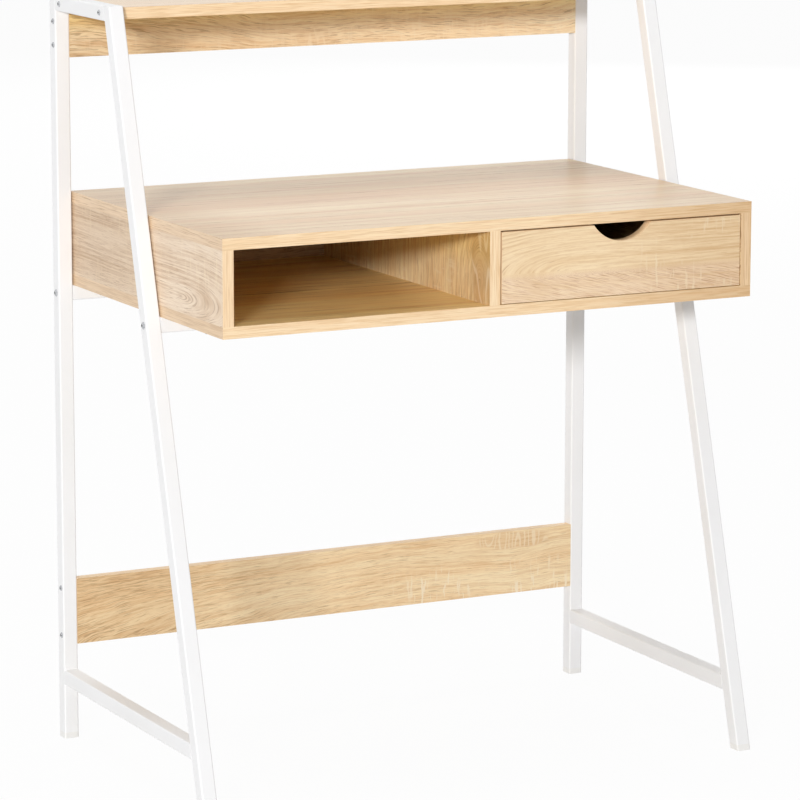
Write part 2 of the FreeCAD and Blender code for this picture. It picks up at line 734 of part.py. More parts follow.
back_corner = (f"{BOX_LEFT} + drawer_side", "box_rear_y - drawer_side", "sheet_z + sheet_slot")
back_holes = []
for face, way in ((f"{BOX_LEFT} + drawer_side", 1), (f"{BOX_RIGHT} - drawer_side", -1)):
    for z in BACK_SCREWS_Z:
        at = (face, "box_back_middle_y", z)
        back_holes.append(hole(at, "x", way, "screw_bite + loose_gap", SCREW_HOLE))
drawer_back_size = ("2 * (box_x - drawer_side)", "drawer_side", "box_top - sheet_z - sheet_slot")
plank("drawer_back", back_corner, drawer_back_size, back_holes)
bottom_size = (
    "2 * (box_x - drawer_side + drawer_groove - loose_gap)",
    "drawer_length + drawer_groove - loose_gap",
    "drawer_bottom_sheet",
)
bottom_corner = (f"{SHEET_X} + loose_gap", "box_front_y - drawer_groove + loose_gap", "sheet_z")
plank("drawer_bottom", bottom_corner, bottom_size)
fasteners("drawer_back_screws", back_marks, "x", "drawer_side + screw_bite", "screw")
finish(joined(drawer_bolts), "drawer_cam_bolts")
finish(less(joined(drawer_cams), drawer_cam_slots), "drawer_cam_locks")

# Roller runners. Distances across a runner are taken from the upright it is next to.

cabinet_runner_marks = []


def across(base, way, near, far):
    """The low X and the width of a piece that lies between two distances from an upright."""
    low = f"{base} + {near}" if way > 0 else f"{base} - ({far})"
    return low, f"{far} - ({near})"


def axle_bars(base, way, y, z, web, head):
    """An axle with a shoulder at its web and a head past the roller."""
    inside = "roller_near - axle_play"
    outside = "roller_far + axle_play"
    shoulder = (web, inside) if head == "far" else (outside, web)
    cap = (outside, f"{outside} + axle_head") if head == "far" else (f"{inside} - axle_head", inside)
    bars = []
    for (near, far), radius in (
        (shoulder, "axle_head_radius"),
        ((inside, outside), "axle_radius"),
        (cap, "axle_head_radius"),
    ):
        low, width = across(base, way, near, far)
        bars.append(rod((low, y, z), "x", width, radius))
    return bars


def screw_holes(base, way, near, far):
    low, width = across(base, way, f"{near} - overrun", f"{far} + overrun")
    ys = ("runner_screw_front_y", "runner_screw_rear_y")
    return [rod((low, y, "runner_middle_z"), "x", width, "runner_screw_radius + loose_gap") for y in ys]


def roller(label, base, way, y, z):
    low, width = across(base, way, "roller_near", "roller_far")
    wheel = rod((low, y, z), "x", width, "roller_radius")
    low, width = across(base, way, "roller_near - overrun", "roller_far + overrun")
    finish(less(wheel, [rod((low, y, z), "x", width, "axle_radius + axle_gap")]), label)


def cabinet_runner(label, base, way):
    """A channel on the upright, with an axle at its front end."""
    web_x, web_width = across(base, way, "0", "runner_sheet")
    flange_x, flange_width = across(base, way, "0", "runner_flange")
    upper_z = "runner_z + runner_height - runner_sheet"
    pieces = [
        block((web_x, "runner_y", "runner_z"), (web_width, "runner_length", "runner_height")),
        block((flange_x, "runner_y", "runner_z"), (flange_width, "runner_length", "runner_sheet")),
        block(
            (flange_x, "runner_y + roller_zone", upper_z),
            (flange_width, "runner_length - roller_zone", "runner_sheet"),
        ),
    ]
    pieces += axle_bars(base, way, "cabinet_roller_y", "cabinet_roller_z", "0", "far")
    finish(less(joined(pieces), screw_holes(base, way, "0", "runner_sheet")), label)


def drawer_runner(label, base, way):
    """An angle on the drawer side that rides on the front roller, with an axle at its rear end."""
    web_x, web_width = across(base, way, "runner_room - runner_sheet", "runner_room")
    flange_x, flange_width = across(base, way, "runner_room - runner_reach", "runner_room")
    low = "runner_z + runner_web_rise"
    web_height = f"drawer_flange_z + runner_sheet - ({low})"
    pieces = [
        block((web_x, "runner_y", low), (web_width, "runner_length", web_height)),
        block((flange_x, "runner_y", "drawer_flange_z"), (flange_width, "runner_length", "runner_sheet")),
    ]
    pieces += axle_bars(base, way, "drawer_roller_y", "drawer_roller_z", "runner_room", "near")
    finish(less(joined(pieces), screw_holes(base, way, "runner_room - runner_sheet", "runner_room")), label)


for side_name, base, way in (("left", "board / 2", 1), ("right", "side_x", -1)):
    cabinet_runner(f"{side_name}_cabinet_runner", base, way)
    drawer_runner(f"{side_name}_drawer_runner", base, way)
    roller(f"{side_name}_cabinet_roller", base, way, "cabinet_roller_y", "cabinet_roller_z")
    roller(f"{side_name}_drawer_roller", base, way, "drawer_roller_y", "drawer_roller_z")
    head_x = f"{base} + runner_sheet" if way > 0 else f"{base} - runner_sheet"
    for y in ("runner_screw_front_y", "runner_screw_rear_y"):
        cabinet_runner_marks.append(((head_x, y, "runner_middle_z"), -way))

RUNNER_SCREW_LENGTH = "runner_sheet + runner_screw_bite"
fasteners("cabinet_runner_screws", cabinet_runner_marks, "x", RUNNER_SCREW_LENGTH, "runner_screw")
fasteners("drawer_runner_screws", drawer_runner_marks, "x", RUNNER_SCREW_LENGTH, "runner_screw")

# Checks, then one file per piece.

doc.recompute()
for thing in doc.Objects:
    if "Invalid" in thing.State or "Error" in thing.State:
        raise RuntimeError(f"{thing.Label} did not build: {thing.State}")
os.makedirs("parts", exist_ok=True)
for node in nodes:
    if node.Shape.isNull() or not node.Shape.isValid() or not node.Shape.Solids:
        raise RuntimeError(f"{node.Label} has no sound shape")
    node.Shape.exportStep(f"parts/{node.Label}.step")
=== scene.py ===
import math

import bpy
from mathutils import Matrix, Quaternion, Vector

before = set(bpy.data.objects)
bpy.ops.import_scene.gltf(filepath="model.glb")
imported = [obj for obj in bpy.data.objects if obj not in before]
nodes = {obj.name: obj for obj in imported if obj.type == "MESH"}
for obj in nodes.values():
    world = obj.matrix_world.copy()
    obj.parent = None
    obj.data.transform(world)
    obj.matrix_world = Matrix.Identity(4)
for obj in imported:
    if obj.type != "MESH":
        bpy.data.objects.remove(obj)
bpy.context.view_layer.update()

# Lengths are in metres, angles in degrees and powers in watts.

# The camera, fitted to the photo: where it stands, which way it looks and how it is turned.
PICTURE_PIXELS = 800
FOCAL_PIXELS = 4101.6
SENSOR_MM = 36
CAMERA_PLACE = (-2.4241, -4.7623, 1.4741)
CAMERA_YAW = 26.8915
CAMERA_PITCH = 10.6338
CAMERA_ROLL = 0.0736
CAMERA_FAR = 100

# The floor. What the camera sees of it is mostly plain white; the small rest is lit and keeps the shadow.
FLOOR_SIZE = 40
FLOOR_TONE = (0.78, 0.78, 0.78, 1)
FLOOR_WHITE = 0.96

# The light. Each lamp: its place, its width and height, its power, and whether gloss shows it.
WORLD_LIGHT = 0.28
LAMP_TARGET = (0, 0, 0.6)
LAMPS = {
    "fill": ((-9, -10.7, 3.8), (2.9, 1.3), 1300, False),
    "overhead": ((-1.2, 0, 7.2), (5, 5), 208, True),
    "rear": ((5, 7, 2), (2.5, 2.5), 225, False),
}

# The rounding of the boards' edges.
WELD_REACH = 0.00001
ROUND_WIDTH = 0.0004
ROUND_SEGMENTS = 2
ROUND_ANGLE = 40


def srgb(red, green, blue):
    """A colour written as on a screen, 0 to 255, as linear light."""

    def linear(part):
        share = part / 255
        return share / 12.92 if share <= 0.04045 else ((share + 0.055) / 1.055) ** 2.4

    return (linear(red), linear(green), linear(blue), 1)


def palette(*tones):
    return tuple(srgb(*tone) for tone in tones)


class Tree:
    """Short calls that build one node tree. A value may be a number, a colour or an output of another node."""

    def __init__(self, tree):
        self.tree = tree

    def add(self, kind, inputs=None, **settings):
        node = self.tree.nodes.new(kind)
        for name, value in settings.items():
            setattr(node, name, value)
        for key, value in (inputs or {}).items():
            self.put(node.inputs[key], value)
        return node

    def put(self, socket, value):
        if isinstance(value, bpy.types.NodeSocket):
            self.tree.links.new(value, socket)
        else:
            socket.default_value = value

    def math(self, operation, *values):
        return self.add("ShaderNodeMath", dict(enumerate(values)), operation=operation).outputs[0]

    def times(self, first, second):
        return self.math("MULTIPLY", first, second)

    def plus(self, first, second):
        return self.math("ADD", first, second)

    def minus(self, first, second):
        return self.math("SUBTRACT", first, second)

    def squared(self, value):
        return self.times(value, value)

    def point(self, x, y, z):
        return self.add("ShaderNodeCombineXYZ", {0: x, 1: y, 2: z}).outputs[0]

    def parts(self, vector):
        return self.add("ShaderNodeSeparateXYZ", {0: vector}).outputs

    def noise(self, point, detail):
        """Soft noise round 0.5. The point sets its scale."""
        return self.add("ShaderNodeTexNoise", {"Vector": point, "Scale": 1, "Detail": detail}).outputs["Fac"]

    def step(self, value, low, high, start=0, end=1):
        """A smooth step from start to end while the value goes from low to high."""
        inputs = {0: value, 1: low, 2: high, 3: start, 4: end}
        return self.add("ShaderNodeMapRange", inputs, interpolation_type="SMOOTHSTEP").outputs[0]

    def mix(self, share, first, second, blend="MIX"):
        inputs = {0: share, 6: first, 7: second}
        return self.add("ShaderNodeMix", inputs, data_type="RGBA", blend_type=blend).outputs[2]

    def blend(self, share, first, second):
        return self.add("ShaderNodeMix", {0: share, 2: first, 3: second}, data_type="FLOAT").outputs[0]


def new_material(name):
    material = bpy.data.materials.new(name)
    material.use_nodes = True
    material.node_tree.nodes.clear()
    return material, Tree(material.node_tree)


def surface(tree, inputs):
    shader = tree.add("ShaderNodeBsdfPrincipled", inputs)
    output = tree.add("ShaderNodeOutputMaterial")
    tree.put(output.inputs["Surface"], shader.outputs[0])


def bump(tree, height, strength, distance):
    inputs = {"Strength": strength, "Distance": distance, "Height": height}
    return tree.add("ShaderNodeBump", inputs).outputs[0]


# The oak print of the boards' large faces.

NOWHERE = -9
FIGURE_INPUTS = {
    "U": 0,  # place along the grain
    "V": 0,  # place across the grain
    "Seed": 0,
    "Centre": NOWHERE,  # U where the arches' tips end and straight lines begin
    "Axis": NOWHERE,  # V of the arches' middle
    "Taper": 0.25,  # how blunt the arches are
    "Wander": 0.05,  # how far the lines stray
    "Ring": 0.0065,  # distance between rings
    "Rings": 0.4,  # strength of the rings
    "Flecks": 0.5,  # strength of the dark flecks
    "Crowd": 0,  # how many more flecks
    "Thin": 0,  # how many fewer flecks further along U
    "Ticks": 0.4,  # strength of the pale ticks across the grain
    "Tick start": NOWHERE,  # U where the ticks begin
    "Tick top": -NOWHERE,  # V where the ticks end
    "Heart": 0,  # strength of the slanting grain below the axis
    "One side": 0,  # 1 leaves out the rings below the axis
    "Crisp": 0.42,  # strength of the fine fibres
    "Curl along": NOWHERE,  # U and V of a pale curl, and half its size
    "Curl across": NOWHERE,
    "Curl length": 0.05,
    "Curl width": 0.012,
    "Curl run": 30,  # cells of the curl in a metre, along and across the grain
    "Curl rise": 8,
    "Curl": 0.4,  # strength of the curl
}
TONES = ("Pale", "Mid", "Dark", "Fleck", "Core")
# Tones of the print. Four sets are lighter copies that paint light in: the upper back board's set, for a board in
# the shelf's shade; the desk top's set, lighter all over and darkened again by painted shade at its near and
# middle parts, so its far part under the shelf is painted lighter; the inner set, lighter and more saturated, for
# the inner faces of the side panels, the divider and the shelf's underside; and the cubby floor's set, brighter
# and yellower.
BACK = palette((255, 234, 194), (251, 221, 177), (216, 170, 118), (150, 108, 62), (222, 190, 150))
UPPER_PAINTED_LIGHT = palette((255, 240, 208), (254, 230, 192), (218, 176, 128), (150, 110, 66), (222, 190, 150))
SHELF = palette((252, 229, 197), (235, 207, 174), (206, 172, 134), (170, 134, 102), (220, 194, 166))
DESK_PAINTED_LIGHT = palette((255, 242, 209), (248, 219, 184), (218, 182, 142), (180, 142, 108), (226, 200, 172))
LIGHT = palette((252, 228, 190), (245, 216, 174), (220, 181, 132), (176, 120, 84), (245, 217, 189))
COOL = palette((249, 231, 209), (240, 218, 192), (204, 171, 137), (170, 134, 102), (220, 194, 166))
INNER_PAINTED_LIGHT = palette((255, 236, 192), (253, 224, 174), (206, 158, 100), (140, 94, 48), (222, 184, 130))
CUBBY_PAINTED_LIGHT = palette((255, 230, 166), (255, 220, 150), (222, 170, 106), (120, 76, 34), (222, 184, 130))
TICK = srgb(252, 234, 204)

# Pale, middle and dark tone of the bands on a board's long edges and on its ends; the last set, a darker copy for
# the right side panel's ends, is painted shade where the light falls off to the right.
EDGE_TONES = palette((255, 229, 191), (250, 218, 176), (227, 187, 136))
END_TONES = palette((255, 227, 189), (249, 217, 176), (222, 184, 139))
SLAB_END = palette((238, 211, 179), (228, 199, 165), (202, 168, 130))
SHADED_END_TONES = palette((240, 208, 168), (230, 195, 152), (202, 164, 118))

# Tints that multiply a board's colour. The first darkens for painted shade and light fall-off on most boards, and
# for darker tone of the print in a few places; SHADE is painted shade; the yellow tint is painted warm shade, as
# if lit by light bounced off the wood, under the shelf and the desk top.
SHADE_AND_TONE_TINT = (0.64, 0.52, 0.38, 1)
SHADE = (0.76, 0.63, 0.57, 1)
WARM_SHADE_TINT = (1, 0.96, 0.66, 1)
WHITE = (1, 1, 1, 1)

# Noise of the print: cells in a metre along the grain and across it, a shift of the seed, and the detail.
FIELDS = {
    "drift": (2.6, 8, 0, 2),
    "ripple": (19, 40, 4, 2),
    "bands": (1.6, 42, 8, 3),
    "streak": (6, 150, 10, 3),
    "fibre": (24, 640, 12, 2),
    "stroke": (52, 1000, 42, 1),
    "thread": (150, 1500, 14, 2),
    "spacing": (0.6, 60, 20, 2),
    "ring": (4, 26, 16, 2),
    "crowd": (4, 22, 24, 2),
    "fleck": (40, 1100, 28, 1),
    "sway": (60, 90, 30, 2),
    "tick": (210, 24, 32, 2),
    "patch": (7, 18, 36, 2),
}
CURL_FIELD = (46, 1)  # shift and detail; the inputs give the cells

# Smooth steps from a value to a share: where the step begins and ends, and where given its first and last share.
STEPS = {
    "heart": (-0.005, 0.003, 1, 0),
    "below": (-0.006, 0.004, 1, 0),
    "bands": (0.3, 0.7),
    "streak": (0.45, 0.66, 0, 0.36),
    "dark fibre": (0.5, 0.62),
    "pale fibre": (0.36, 0.48, 1, 0),
    "stroke": (0.58, 0.66),
    "thread": (0.45, 0.7, 0, 0.15),
    "ring": (0.32, 0.6),
    "fleck": (0.6, 0.68),
    "tick": (0.55, 0.64),
    "patch": (0.44, 0.56),
    "curl": (1.1, 1.6, 1, 0),
    "loop": (0.3, 1),
    "band streak": (0.35, 0.65),
    "band thread": (0.47, 0.62, 0, 0.55),
}
RIPPLE_SHARE = 0.12
SPACING_SPREAD = 4
CROWD_SPREAD = 0.3
SWAY_REACH = 0.004
TICK_FADE_ALONG = 0.04
TICK_FADE_ACROSS = 0.02
HEART_SLANT = 0.26
HEART_DRIFT = 0.05
HEART_CROWD = 0.14
HEART_TONE = 0.7
PALE_FIBRE_MORE = 0.25
CURL_LOOPS = 60
CURL_DARK = 0.5
THREAD_HEIGHT = 0.4
FLECK_DEPTH = 0.6


def oak_figure():
    """A node group with the figure of a flat-sawn board: arches, rings, flecks, pale ticks and a curl."""
    group = bpy.data.node_groups.new("oak_figure", "ShaderNodeTree")
    for name, value in FIGURE_INPUTS.items():
        socket = group.interface.new_socket(name, in_out="INPUT", socket_type="NodeSocketFloat")
        socket.default_value = value
    for name in TONES:
        group.interface.new_socket(name, in_out="INPUT", socket_type="NodeSocketColor")
    group.interface.new_socket("Color", in_out="OUTPUT", socket_type="NodeSocketColor")
    group.interface.new_socket("Height", in_out="OUTPUT", socket_type="NodeSocketFloat")
    tree = Tree(group)
    given = tree.add("NodeGroupInput").outputs
    u, v = given["U"], given["V"]

    def noise(along, across, shift, detail, line, run):
        spot = tree.point(tree.times(run, along), tree.times(line, across), tree.plus(given["Seed"], shift))
        return tree.noise(spot, detail)

    def field(name, line=v, run=u):
        return noise(*FIELDS[name], line, run)

    def centred(value):
        return tree.minus(value, 0.5)

    def share(name, value):
        return tree.step(value, *STEPS[name])

    def away(value, middle, reach):
        return tree.squared(tree.math("DIVIDE", tree.minus(value, middle), reach))

    # Lines of the grain: arches round the axis that stray a little, or in the heart a slanting lay.
    off = tree.minus(v, given["Axis"])
    before = tree.math("MINIMUM", tree.minus(u, given["Centre"]), 0)
    arch = tree.math("SQRT", tree.plus(tree.squared(off), tree.squared(tree.times(before, given["Taper"]))))
    drift = centred(field("drift"))
    stray = tree.plus(drift, tree.times(centred(field("ripple")), RIPPLE_SHARE))
    line = tree.plus(arch, tree.times(given["Wander"], stray))
    heart = tree.times(share("heart", off), given["Heart"])
    slant = tree.plus(tree.plus(v, tree.times(u, HEART_SLANT)), tree.times(drift, HEART_DRIFT))
    lay = tree.blend(heart, line, slant)

    spacing = tree.times(field("spacing", line), SPACING_SPREAD)
    turns = tree.plus(tree.math("DIVIDE", line, given["Ring"]), spacing)
    wave = tree.plus(tree.times(tree.math("SINE", tree.times(turns, math.tau)), 0.5), 0.5)
    bare = tree.math("MAXIMUM", heart, tree.times(share("below", off), given["One side"]))
    ring = tree.times(tree.squared(wave), share("ring", field("ring", line)))
    ring = tree.times(ring, tree.minus(1, bare))

    crowd = tree.times(centred(field("crowd")), CROWD_SPREAD)
    crowd = tree.plus(crowd, tree.minus(given["Crowd"], tree.times(u, given["Thin"])))
    crowd = tree.plus(crowd, tree.times(heart, HEART_CROWD))
    fleck = share("fleck", tree.plus(field("fleck", lay), crowd))

    sway = tree.plus(u, tree.times(centred(field("sway")), SWAY_REACH))
    tick_start, tick_top = given["Tick start"], given["Tick top"]
    tick = tree.times(share("tick", field("tick", run=sway)), share("patch", field("patch")))
    tick = tree.times(tick, tree.step(u, tick_start, tree.plus(tick_start, TICK_FADE_ALONG)))
    tick = tree.times(tick, tree.step(v, tree.minus(tick_top, TICK_FADE_ACROSS), tick_top, 1, 0))

    swirl = noise(given["Curl run"], given["Curl rise"], *CURL_FIELD, v, sway)
    from_curl = tree.plus(
        away(u, given["Curl along"], given["Curl length"]),
        away(v, given["Curl across"], given["Curl width"]),
    )
    curl = tree.times(share("curl", tree.plus(from_curl, swirl)), given["Curl"])
    loop = share("loop", tree.math("SINE", tree.times(swirl, CURL_LOOPS)))

    fibre = field("fibre", lay)
    thread = field("thread", lay)
    crisp, pale, dark = given["Crisp"], given["Pale"], given["Dark"]
    color = tree.mix(share("bands", field("bands", line)), pale, given["Mid"])
    layers = (
        (tree.times(heart, HEART_TONE), given["Core"]),
        (share("streak", field("streak", line)), dark),
        (tree.times(ring, given["Rings"]), dark),
        (tree.times(share("dark fibre", fibre), crisp), dark),
        (tree.times(share("pale fibre", fibre), tree.plus(crisp, PALE_FIBRE_MORE)), pale),
        (tree.times(share("stroke", field("stroke", lay)), crisp), dark),
        (tree.times(fleck, given["Flecks"]), given["Fleck"]),
        (tree.times(tick, given["Ticks"]), TICK),
        (share("thread", thread), dark),
        (tree.times(curl, CURL_DARK), dark),
        (tree.times(curl, loop), TICK),
    )
    for amount, tone in layers:
        color = tree.mix(amount, color, tone)
    height = tree.minus(tree.blend(THREAD_HEIGHT, fibre, thread), tree.times(fleck, FLECK_DEPTH))
    end = tree.add("NodeGroupOutput")
    tree.put(end.inputs["Color"], color)
    tree.put(end.inputs["Height"], height)
    return group


FIGURE = oak_figure()
AXES = "xyz"
FACING = 0.7  # a face looks along an axis where its normal has more than this of it
OTHER_SEED = 5  # shift of the seed on a board's second large face
BAND_STREAK = (7, 420, 0, 3)  # cells in a metre along the edge and through it, shift of the seed, detail
BAND_THREAD = (26, 900, 3, 2)
GLOSS_SWING = 0.05
HEIGHT_RANGE = (0.2, 0.8)
OAK_BUMP = (0.25, 0.0002)
OAK_SPECULAR = 0.35


def laminate(name, grain, across, seed, sides, figure, rough):
    """Oak print on the two large faces of a board, and a straight-grained band on its edges."""
    material, tree = new_material(name)
    where = tree.add("ShaderNodeTexCoord").outputs
    place = dict(zip(AXES, tree.parts(where["Object"])))
    facing = dict(zip(AXES, tree.parts(where["Normal"])))
    thick = next(axis for axis in AXES if axis not in (grain, across))
    on_face = tree.math("GREATER_THAN", tree.math("ABSOLUTE", facing[thick]), FACING)
    on_end = tree.math("GREATER_THAN", tree.math("ABSOLUTE", facing[grain]), FACING)
    upper_side = tree.math("GREATER_THAN", facing[thick], 0)
    seen_side = upper_side if figure.get("Seen from above") else tree.minus(1, upper_side)

    # Multiplies the colour by tint rows, each stepping along an axis: mostly painted shade, and in a few places
    # darker tone of the print.
    def shade_and_tone_tinted(color, tint_rows, side):
        for tint, axis, *steps in tint_rows:
            row_tint = tree.mix(tree.times(tree.step(place[axis], *steps), side), WHITE, tint)
            color = tree.mix(1, color, row_tint, "MULTIPLY")
        return color

    figured = tree.add("ShaderNodeGroup", node_tree=FIGURE)
    values = {key: figure.get(key, usual) for key, usual in FIGURE_INPUTS.items()}
    values["U"] = tree.times(place[grain], figure.get("Stretch", 1))
    values["V"] = tree.times(place[across], figure.get("Spread", 1))
    values["Seed"] = tree.plus(tree.times(upper_side, OTHER_SEED), seed)
    values.update(zip(TONES, (tree.mix(upper_side, *pair) for pair in zip(*sides))))
    for key, value in values.items():
        tree.put(figured.inputs[key], value)
    printed = shade_and_tone_tinted(figured.outputs["Color"], figure.get("Shade and tone tints", ()), seen_side)

    run = tree.blend(on_end, place[grain], place[across])

    def band_noise(along, through, shift, detail):
        spot = tree.point(tree.times(run, along), tree.times(place[thick], through), seed + shift)
        return tree.noise(spot, detail)

    streak = band_noise(*BAND_STREAK)
    thread = band_noise(*BAND_THREAD)
    pale, middle, dark = (tree.mix(on_end, *pair) for pair in zip(EDGE_TONES, figure.get("Ends", END_TONES)))
    band = tree.mix(tree.step(streak, *STEPS["band streak"]), pale, middle)
    band = tree.mix(tree.step(thread, *STEPS["band thread"]), band, dark)
    band = shade_and_tone_tinted(band, figure.get("Edge shade tints", ()), 1)

    color = tree.mix(on_face, band, printed)
    height = tree.blend(on_face, thread, figured.outputs["Height"])
    gloss = tree.step(height, *HEIGHT_RANGE, rough + GLOSS_SWING, rough - GLOSS_SWING)
    normal = bump(tree, height, *OAK_BUMP)
    surface(tree, {"Base Color": color, "Roughness": gloss, "Normal": normal, "Specular IOR Level": OAK_SPECULAR})
    return material


# Paint, plastic and zinc. Cells are counted in a metre.

NOISE_RANGE = (0.3, 0.7)  # where most values of a noise lie
DRIFT_CELLS = 7
COAT_BUMP = 0.2
COAT_SPECULAR = 0.5
CLOUD_CELLS = (600, 600, 600)
CLOUD_RANGE = (0.35, 0.65)
SCRATCH_CELLS = (900, 4000, 700)
SCRATCH_BUMP = (0.15, 0.0001)
SCRATCH_GLOSS = (-0.08, 0.1)
# The faces these two limits find in a screw's head are painted dark: painted shade on the recess's floor and on
# faces that look across the screw, the recess's walls among them.
RECESS_FLOOR = 0.995  # a recess's floor looks along the screw by more than this, its walls by less than the next
RECESS_WALL = 0.1


def coat(name, color, shade, rough, cells, depth):
    """Paint or plastic with a fine skin: slight tone drift, uneven gloss and orange peel."""
    material, tree = new_material(name)
    place = tree.add("ShaderNodeTexCoord").outputs["Object"]

    def field(scale, detail):
        scaled = tree.add("ShaderNodeVectorMath", {0: place, "Scale": scale}, operation="SCALE").outputs[0]
        return tree.noise(scaled, detail)

    drift = field(DRIFT_CELLS, 3)
    skin = field(cells, 2)
    tone = tree.mix(tree.step(drift, *NOISE_RANGE), color, shade)
    gloss = tree.step(skin, *NOISE_RANGE, rough - GLOSS_SWING, rough + GLOSS_SWING)
    normal = bump(tree, skin, COAT_BUMP, depth)
    surface(tree, {"Base Color": tone, "Roughness": gloss, "Normal": normal, "Specular IOR Level": COAT_SPECULAR})
    return material


def metal(name, color, shade, rough, recess=None):
    """Zinc plating: small cloudy crystals and fine scratches, and painted shade in a screw's recess and on faces
    that look across the screw.
    """
    material, tree = new_material(name)
    where = tree.add("ShaderNodeTexCoord").outputs
    place = tree.parts(where["Object"])

    def field(cells, detail):
        return tree.noise(tree.point(*(tree.times(part, count) for part, count in zip(place, cells))), detail)

    cloud = field(CLOUD_CELLS, 3)
    scratch = field(SCRATCH_CELLS, 2)
    tone = tree.mix(tree.step(cloud, *CLOUD_RANGE), color, shade)
    # Painted shade: the recess's floor and the faces across the screw take the dark colour.
    if recess:
        along = tree.math("ABSOLUTE", tree.parts(where["Normal"])[0])
        floor = tree.math("GREATER_THAN", along, RECESS_FLOOR)
        wall = tree.math("LESS_THAN", along, RECESS_WALL)
        tone = tree.mix(tree.math("MAXIMUM", floor, wall), tone, recess)
    gloss = tree.step(scratch, *NOISE_RANGE, *(rough + swing for swing in SCRATCH_GLOSS))
    normal = bump(tree, scratch, *SCRATCH_BUMP)
    surface(tree, {"Base Color": tone, "Metallic": 1, "Roughness": gloss, "Normal": normal})
    return material


def paint(material, *names):
    for name in names:
        slots = nodes[name].data.materials
        slots.clear()
        slots.append(material)


def soften(*names):
    """Rounds the sharp edges of a CAD piece a little."""
    for name in names:
        weld = nodes[name].modifiers.new("weld", "WELD")
        weld.merge_threshold = WELD_REACH
        bevel = nodes[name].modifiers.new("bevel", "BEVEL")
        bevel.width = ROUND_WIDTH
        bevel.segments = ROUND_SEGMENTS
        bevel.limit_method = "ANGLE"
        bevel.angle_limit = math.radians(ROUND_ANGLE)
        bevel.harden_normals = True


white_coat = coat("white_coat", srgb(247, 247, 248), srgb(244, 244, 244), 0.36, 900, 0.00004)
white_foot = coat("white_foot", srgb(246, 245, 243), srgb(241, 240, 237), 0.5, 1500, 0.00005)
white_runner = coat("white_runner", srgb(236, 236, 232), srgb(228, 228, 224), 0.4, 1200, 0.00004)
white_nylon = coat("white_nylon", srgb(232, 231, 226), srgb(222, 221, 214), 0.45, 1800, 0.00004)
zinc = metal("zinc", (0.46, 0.47, 0.49, 1), (0.3, 0.31, 0.33, 1), 0.34)
# Its last colour is the painted shade in the screws' recesses.
bright_zinc = metal("bright_zinc", (0.64, 0.65, 0.67, 1), (0.46, 0.47, 0.49, 1), 0.3, (0.02, 0.02, 0.024, 1))

HANDS = ("left", "right")
tubes = [f"{hand}_{piece}" for hand in HANDS for piece in ("rear_leg", "front_leg", "top_rail", "stretcher")]
paint(white_coat, *tubes, "rear_cross_tube", "front_cross_tube")
paint(white_foot, *[f"{hand}_{piece}_foot" for hand in HANDS for piece in ("rear", "front")])
paint(white_runner, *[f"{hand}_{piece}_runner" for hand in HANDS for piece in ("cabinet", "drawer")])
paint(white_nylon, *[f"{hand}_{piece}_roller" for hand in HANDS for piece in ("cabinet", "drawer")])
paint(zinc, *[name for name in nodes if name.endswith(("_screws", "_bolts", "_locks"))])
paint(bright_zinc, "shelf_screws", "upper_board_screws", "lower_board_screws", "cross_tube_bolts")

# The boards' figures: inputs of the figure, and besides
# - Stretch and Spread, which scale the place along the grain and across it,
# - Ends, the tones of the bands on the board's ends,
# - the tint rows for the large face that the camera sees, and those for the edges: mostly painted shade, in
#   places darker tone of the print. Each row has a tint, an axis, and the smooth step along that axis: where it
#   begins and ends, and its share there,
# - Seen from above, 1 where the photo shows the face that looks up the board's third axis.
PLAIN = {"Stretch": 0.15, "Spread": 0.5, "Wander": 0.02, "Rings": 0.1, "Flecks": 0, "Ticks": 0, "Ends": SLAB_END}
# Painted shade: the edges darker towards the right end, where the light falls off.
RIGHT_END_SHADE = [(SHADE_AND_TONE_TINT, "x", 0.05, 0.37, 0, 0.6)]
TOP_FIGURE = {
    **PLAIN,
    "Seen from above": 1,
    # Painted shade: both ends of the top darker, and its near and middle parts darker than its far part under the
    # shelf.
    "Shade and tone tints": [
        (SHADE_AND_TONE_TINT, "x", -0.38, -0.25, 0.5, 0),
        (SHADE_AND_TONE_TINT, "x", 0.2, 0.38, 0, 0.4),
        (SHADE, "y", 0.05, 0.22, 0.29, 0),
    ],
    "Edge shade tints": RIGHT_END_SHADE,
}
BOTTOM_FIGURE = {
    **PLAIN,
    "Stretch": 0.25,
    "Wander": 0.04,
    "Ring": 0.02,
    "Rings": 0.4,
    "Flecks": 0.6,
    "Crowd": -0.02,
    "Crisp": 0.2,
    "Edge shade tints": RIGHT_END_SHADE,
}
LEFT_FIGURE = {
    "Centre": -0.12,
    "Axis": 0.655,
    "Taper": 0.22,
    "Wander": 0.01,
    "Ring": 0.006,
    "Rings": 0.7,
    "One side": 1,
    "Ticks": 0.3,
    "Crisp": 0.22,
    # The outer face grows darker towards the rear.
    "Shade and tone tints": [(SHADE_AND_TONE_TINT, "y", -0.15, 0.1, 0, 0.45)],
}
RIGHT_FIGURE = {"Centre": 0.1, "Axis": 0.7, "Wander": 0.04, "Flecks": 0.35, "Ends": SHADED_END_TONES}
DIVIDER_FIGURE = {
    "Stretch": -1,
    "Centre": -0.66,
    "Axis": -0.22,
    "Taper": 0.5,
    "Wander": 0.01,
    "Rings": 0.3,
    "Crisp": 0.24,
    "Curl along": -0.68,
    "Curl across": -0.224,
    "Curl length": 0.08,
    "Curl width": 0.026,
    "Curl run": 9,
    "Curl rise": 24,
    "Curl": 0.7,
    # The print's front block is darker; along the top, under the desk top, painted warm shade.
    "Shade and tone tints": [(SHADE_AND_TONE_TINT, "y", -0.2, -0.195, 0.3, 0), (WARM_SHADE_TINT, "z", 0.665, 0.71, 0, 0.7)],
}
